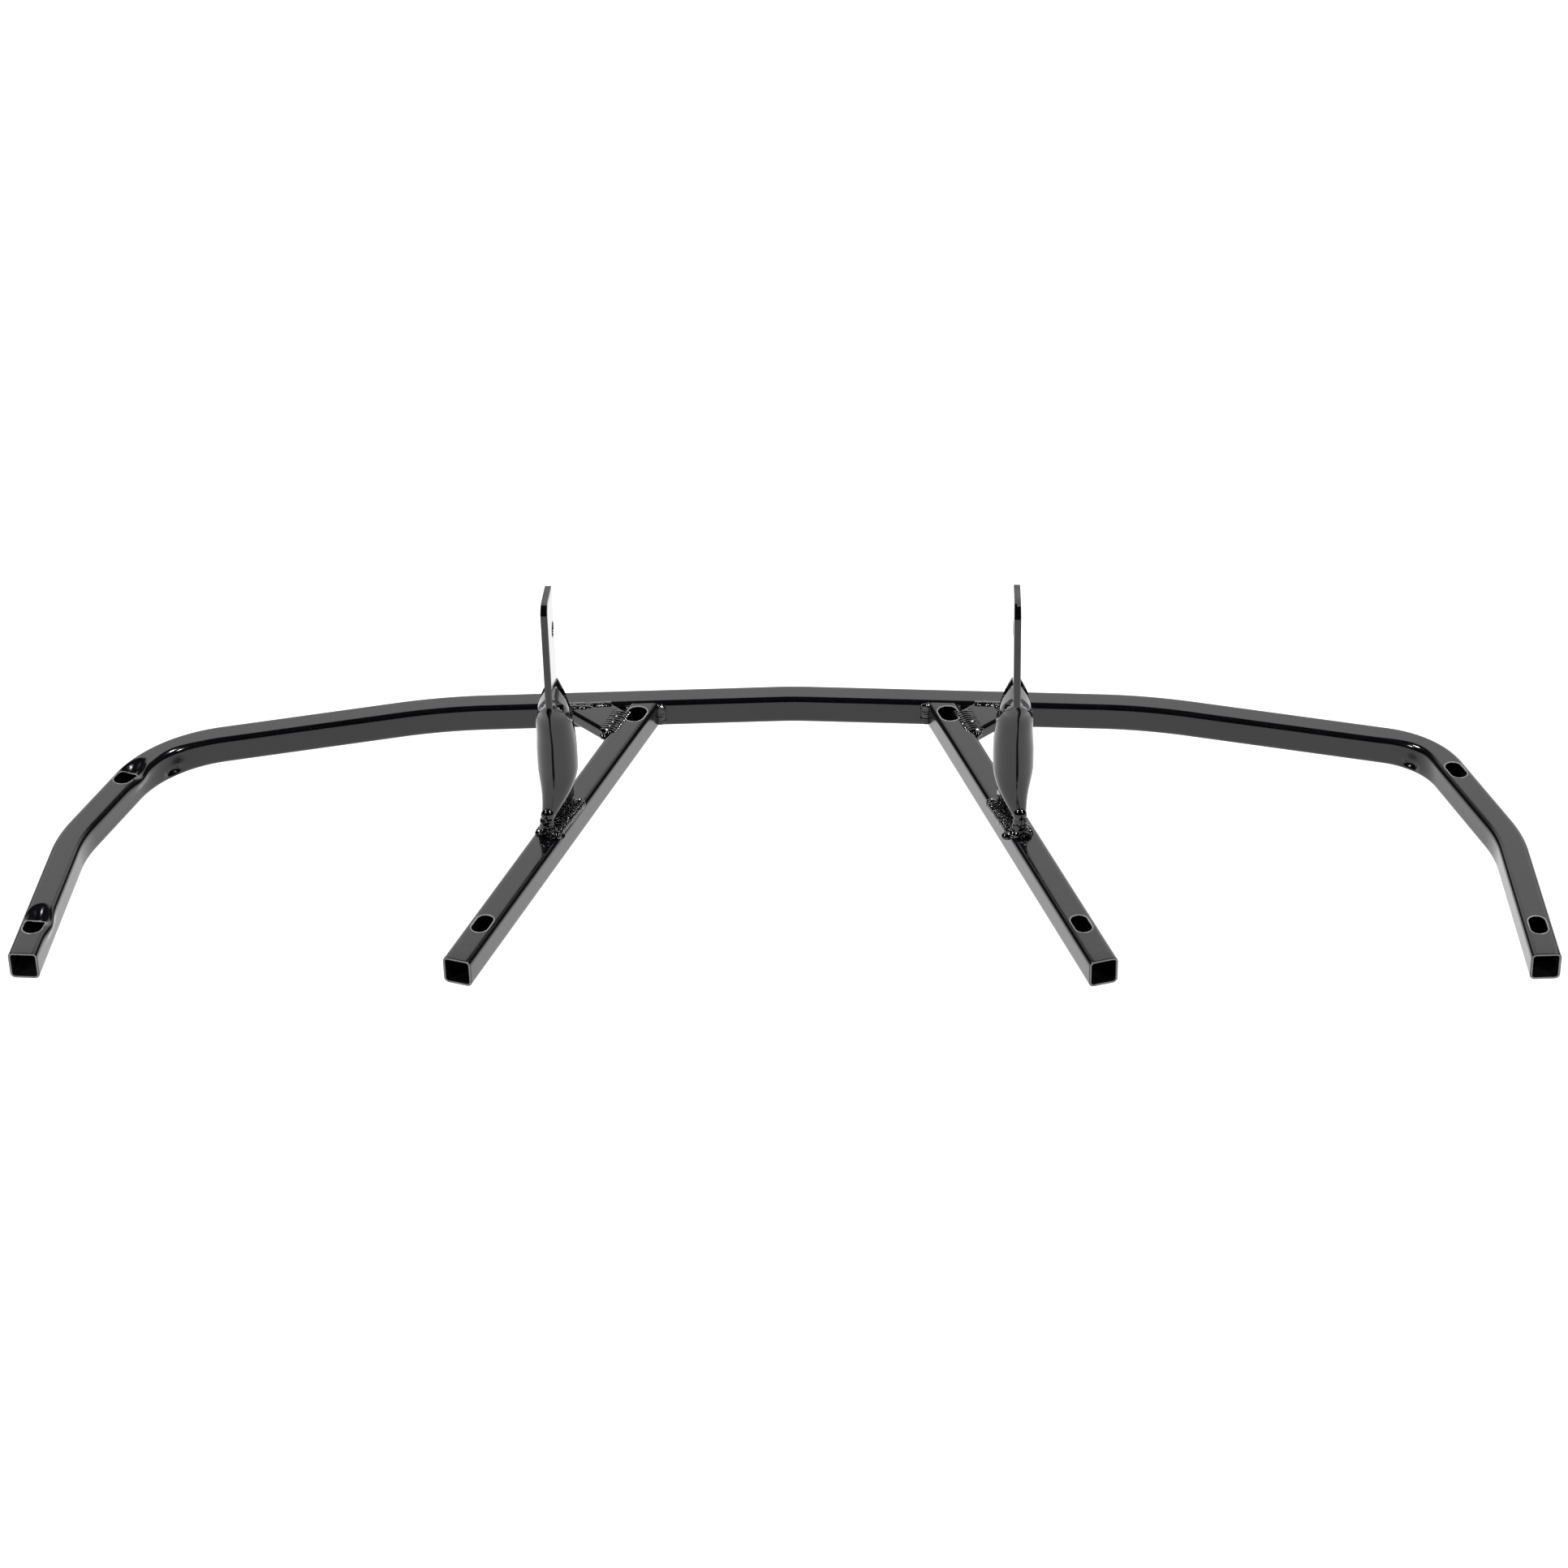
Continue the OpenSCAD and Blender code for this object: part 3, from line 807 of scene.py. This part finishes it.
for s, word in SIDES.items():
    rng = random.Random(7 + s)
    face = v2(s * math.cos(slope), -math.sin(slope))
    front = v2(s * -math.sin(slope), -math.cos(slope))

    def face_point(x):
        return v2(s * x, -x * math.tan(slope) - HALF / math.cos(slope))

    root, end = face_point(LEG_ROOT_X), v2(s * LEG_END[0], LEG_END[1])
    d = unit(root, end)
    out_n = v2(-d.y, d.x) * s
    # ---- leg, from stock that reaches back past its mitre
    leg_dense = [(q + LEG_SPARE - 16, q + LEG_SPARE + 16) for q in LEG_SLOTS]
    leg_stations = route([tuple(root - d * LEG_SPARE), tuple(end)], [], leg_dense)
    leg = tube(f"{word}_leg_skin", leg_stations, HALF, tube_coat,
               planes=((root, front), None), flat_n=6)
    spots = [(root + d * q, w) for q, w in zip(LEG_SLOTS, (ROOT_SLOT_W, SLOT_W))]
    cut(leg, [slot_cutter(p, d, w) for p, w in spots])
    join(leg, [slot_lip(p, d, lambda q: TUBE, w) for p, w in spots])
    shade(leg)
    finish_piece(leg, tube_coat, "square_tube", f"{word}_leg")
    # ---- brace
    b_root = face_point(BRACE_X)
    b_dir = v2(-s, -1).normalized()
    run = (HALF - (b_root - root).dot(out_n)) / b_dir.dot(out_n)
    b_end = b_root + b_dir * run
    stock = route([tuple(b_root - b_dir * BRACE_SPARE), tuple(b_end + b_dir * BRACE_SPARE)], [], [])
    leg_face = (root + out_n * HALF, out_n)
    brace = tube(f"{word}_brace_skin", [stock[0], stock[-1]], TUBE - BRACE_H / 2, brace_coat, BRACE_W, BRACE_H,
                 BRACE_R, BRACE_WALL, planes=((b_root, front), leg_face), flat_n=4)
    shade(brace)
    finish_piece(brace, brace_coat, "brace_tube", f"{word}_brace")
    # ---- upright
    up = upright(f"{word}_upright_skin", s, rng)
    finish_piece(up, round_coat, "round_tube", f"{word}_upright")

    # ---- welds down both sides of the leg's mitred end
    face_turn = math.atan2(face.y, face.x)
    leg_half = HALF / abs(d.dot(front))
    inner = root - face * leg_half
    outer = root + face * leg_half
    balls = ripples(rng, at(inner - face * 1.0, 4.5), at(inner - face * 1.0, 21.0),
                    width=10.5, height=3.4, pitch=2.2, thick=1.7, turn=face_turn)
    balls += spatter(rng, at(inner - face * 0.5 + front, 22.0), (3.4, 1.6, 1.0), count=8, size=2.2)
    balls += ripples(rng, at(outer, 4.0), at(outer, 22.0),
                     width=7.0, height=3.0, pitch=2.2, thick=1.7, turn=face_turn)
    weld = blob_union(f"{word}_leg_weld_bead", balls)
    finish_piece(weld, weld_coat, "weld_bead", f"{word}_leg_weld")

    # ---- weld in the groove between the bow and the brace
    half_bow = BRACE_W / 2 / math.sin(math.radians(45) - slope)
    r0, r1 = b_root - face * (half_bow - 7), b_root + face * (half_bow - 2)
    balls = ripples(rng, at(r0 - front * 0.5, TUBE - 1.2), at(r1 - front * 0.5, TUBE - 1.2),
                    width=8.4, height=3.0, pitch=2.7, trail=0.8)
    balls += ripples(rng, at(r0.lerp(r1, 0.42) + front * 4.0, TUBE - 1.0),
                     at(r1 + front * 3.2, TUBE - 1.0),
                     width=7.0, height=3.0, pitch=3.0, jitter=0.25, thick=2.4)
    balls += spatter(rng, at(r1 + front * 2.2, TUBE - 2.0), (3.6, 3.0, 1.2), count=12, size=2.7)
    balls += ripples(rng, at(r1 + front, 14), at(r1 + front, TUBE - 4),
                     width=6.5, height=3, pitch=2.2, turn=face_turn)
    weld = blob_union(f"{word}_brace_bow_weld_bead", balls)
    finish_piece(weld, weld_coat, "weld_bead", f"{word}_brace_bow_weld")

    # ---- fat weld in the groove between the leg and the brace
    half_leg = BRACE_W / 2 / abs(math.sin(math.atan2(b_dir.y, b_dir.x) - math.atan2(d.y, d.x)))
    e0, e1 = b_end - d * (half_leg - 6), b_end + d * (half_leg - 3)
    balls = ripples(rng, at(e0 + out_n * 0.6, TUBE - 1.6), at(e1 + out_n * 0.6, TUBE - 1.6),
                    width=17.5, height=3.4, pitch=3.4, jitter=0.05, thick=2.3, trail=2.6)
    balls += spatter(rng, at(e1 + out_n * 0.5 + d * 2, TUBE - 2.4), (4.6, 3.0, 1.4),
                     count=14, size=2.8)
    balls += ripples(rng, at(e1 + out_n * 1.5, 14), at(e1 + out_n * 1.5, TUBE - 4),
                     width=6, height=3, pitch=2.2, turn=math.atan2(d.y, d.x))
    weld = blob_union(f"{word}_brace_leg_weld_bead", balls)
    finish_piece(weld, weld_coat, "weld_bead", f"{word}_brace_leg_weld")

    # ---- weld at the upright's foot: beads all round, a piled-up blob on the front edge
    fx, fy = UP_X + FOOT_OFF[s], -UP_Y + FOOT_BACK
    ca, sa = math.cos(FOOT_TURN), math.sin(FOOT_TURN)

    def foot(u, v, z):
        return (s * (fx + u * ca - v * sa), fy + u * sa + v * ca, z)

    fb = squeezed(FOOT_T / 2) + FOOT_SPREAD
    balls = ripples(rng, foot(-7.4, -fb + 5, TUBE + 1), foot(-7.4, fb + 3, TUBE + 1),
                    width=9.5, height=4.6, pitch=3.0, trail=1.2)
    balls += ripples(rng, foot(6.2, -fb + 4, TUBE + 1), foot(6.2, fb - 2, TUBE + 1),
                     width=8, height=4.4, pitch=2.8, trail=1.0)
    balls += ripples(rng, foot(-5, fb + 0.5, TUBE + 1), foot(5, fb + 0.5, TUBE + 1),
                     width=7, height=4.0, pitch=2.6)
    balls += ripples(rng, foot(-12.5, -fb + 5, TUBE), foot(6.5, -fb + 3, TUBE),
                     width=10, height=3.8, pitch=4.0, jitter=0.2, thick=4.4)
    for z, r in ((TUBE + 21.0, 6.2), (TUBE + 14.5, 6.0), (TUBE + 9.0, 6.4), (TUBE + 4, 7.4)):
        balls.append((foot(rng.uniform(-2.5, 0), -fb + 2.5, z), (r, r * 0.8, r), 0.0))
    balls += spatter(rng, foot(-1, -fb, TUBE + 10), (4.0, 1.2, 8), count=11, size=3.1)
    balls += spatter(rng, foot(-3, -fb + 1, TUBE + 2), (8, 3.0, 1.2), count=14, size=3.2)
    weld = blob_union(f"{word}_upright_weld_bead", balls)
    finish_piece(weld, weld_coat, "weld_bead", f"{word}_upright_weld")

# ------------------------------------------------------------------ floor, light, camera
FLOOR_SIZE, FLOOR_DROP, FLOOR_GLOW = 12.0, 0.0006, 1.6
bm = bmesh.new()
bmesh.ops.create_grid(bm, x_segments=2, y_segments=2, size=FLOOR_SIZE)
me = bpy.data.meshes.new("floor")
bm.to_mesh(me)
bm.free()
floor = bpy.data.objects.new("floor", me)
floor.location.z = -FLOOR_DROP
bpy.context.scene.collection.objects.link(floor)


def floor_material():
    """A pale floor that glows faintly unevenly, so the sides of the tubes mirror it."""
    mat = bpy.data.materials.new("pale_floor")
    mat.use_nodes = True
    tree = mat.node_tree
    bsdf = tree.nodes["Principled BSDF"]
    bsdf.inputs["Roughness"].default_value = 0.9
    bsdf.inputs["Specular IOR Level"].default_value = 0.1
    bsdf.inputs["Base Color"].default_value = (0.06, 0.06, 0.06, 1)
    bsdf.inputs["Emission Strength"].default_value = FLOOR_GLOW
    coords = tree.nodes.new("ShaderNodeTexCoord").outputs["Object"]
    shade_ramp = tree.nodes.new("ShaderNodeValToRGB")
    for element, grey in zip(shade_ramp.color_ramp.elements, (0.84, 0.9)):
        element.color = (grey, grey, grey, 1)
    tree.links.new(noise(tree, coords, 3, 2, 0.5), shade_ramp.inputs["Fac"])
    tree.links.new(shade_ramp.outputs["Color"], bsdf.inputs["Emission Color"])
    return mat


floor.data.materials.append(floor_material())


def multiply(tree, a, b):
    """The output of a node that multiplies a by b."""
    node = tree.nodes.new("ShaderNodeMath")
    node.operation = "MULTIPLY"
    tree.links.new(a, node.inputs[0])
    tree.links.new(b, node.inputs[1])
    return node.outputs["Value"]


def studio_world():
    """A dark studio with one bright window low at the back, for the top faces to mirror."""
    world = bpy.data.worlds.new("studio")
    bpy.context.scene.world = world
    world.use_nodes = True
    tree = world.node_tree
    coords = tree.nodes.new("ShaderNodeTexCoord")
    split = tree.nodes.new("ShaderNodeSeparateXYZ")
    tree.links.new(coords.outputs["Generated"], split.inputs["Vector"])
    # bright up to a low elevation, then almost black
    height = tree.nodes.new("ShaderNodeValToRGB")
    steps = height.color_ramp.elements
    steps[0].position, steps[0].color = 0.0, (1, 1, 1, 1)
    steps[1].position, steps[1].color = 1.0, (0, 0, 0, 1)
    for place, grey in ((0.60, 1), (0.68, 0.002)):
        steps.new(place).color = (grey, grey, grey, 1)
    tree.links.new(split.outputs["Z"], height.inputs["Fac"])
    back = map_range(tree, split.outputs["Y"], (0.05, 0.45), (0.004, 1.6))
    across = tree.nodes.new("ShaderNodeMath")
    across.operation = "ABSOLUTE"
    tree.links.new(split.outputs["X"], across.inputs[0])
    window = map_range(tree, across.outputs["Value"], (0.42, 0.55), (1.0, 0.03))
    glow = multiply(tree, multiply(tree, height.outputs["Color"], back), window)
    background = tree.nodes["Background"]
    background.inputs["Color"].default_value = (1, 1, 1, 1)
    tree.links.new(glow, background.inputs["Strength"])


def softbox(name, place, size, power):
    """A round lamp that the camera doesn't see, aimed at the middle of the frame."""
    li = bpy.data.lights.new(name, "AREA")
    li.shape, li.size, li.energy = "DISK", size, power
    ob = bpy.data.objects.new(name, li)
    ob.location = place
    ob.rotation_euler = (LAMP_AIM - Vector(place)).to_track_quat("-Z", "Y").to_euler()
    ob.visible_camera = False
    bpy.context.scene.collection.objects.link(ob)


LAMP_AIM = Vector((0, -0.2, 0))
studio_world()
for s, word in SIDES.items():
    softbox(f"softbox_{word}", (s * 2.7, 0.0, 5.0), size=0.8, power=330)
    softbox(f"spot_front_{word}", (s * 3.2, -2.9, 3.8), size=0.6, power=130)

# Camera: place, and its turn about the vertical, tilt and roll in radians
CAM_PLACE = Vector((0.130155, -3.284214, 2.059351))
YAW, PITCH, ROLL = -0.0428, 0.5758, -0.0243
cam = bpy.data.cameras.new("camera")
cam.sensor_width, cam.lens = 36.0, 97.72
cam.clip_end = 100
cam_ob = bpy.data.objects.new("camera", cam)
fwd = Vector((math.sin(YAW) * math.cos(PITCH), math.cos(YAW) * math.cos(PITCH), -math.sin(PITCH)))
level = Vector((math.cos(YAW), -math.sin(YAW), 0))
above = level.cross(fwd)
right = level * math.cos(ROLL) + above * math.sin(ROLL)
up_dir = -level * math.sin(ROLL) + above * math.cos(ROLL)
turned = Matrix((right, up_dir, -fwd)).transposed().to_4x4()
turned.translation = CAM_PLACE
cam_ob.matrix_world = turned
bpy.context.scene.collection.objects.link(cam_ob)
bpy.context.scene.camera = cam_ob
bpy.context.scene.view_settings.view_transform = "Standard"
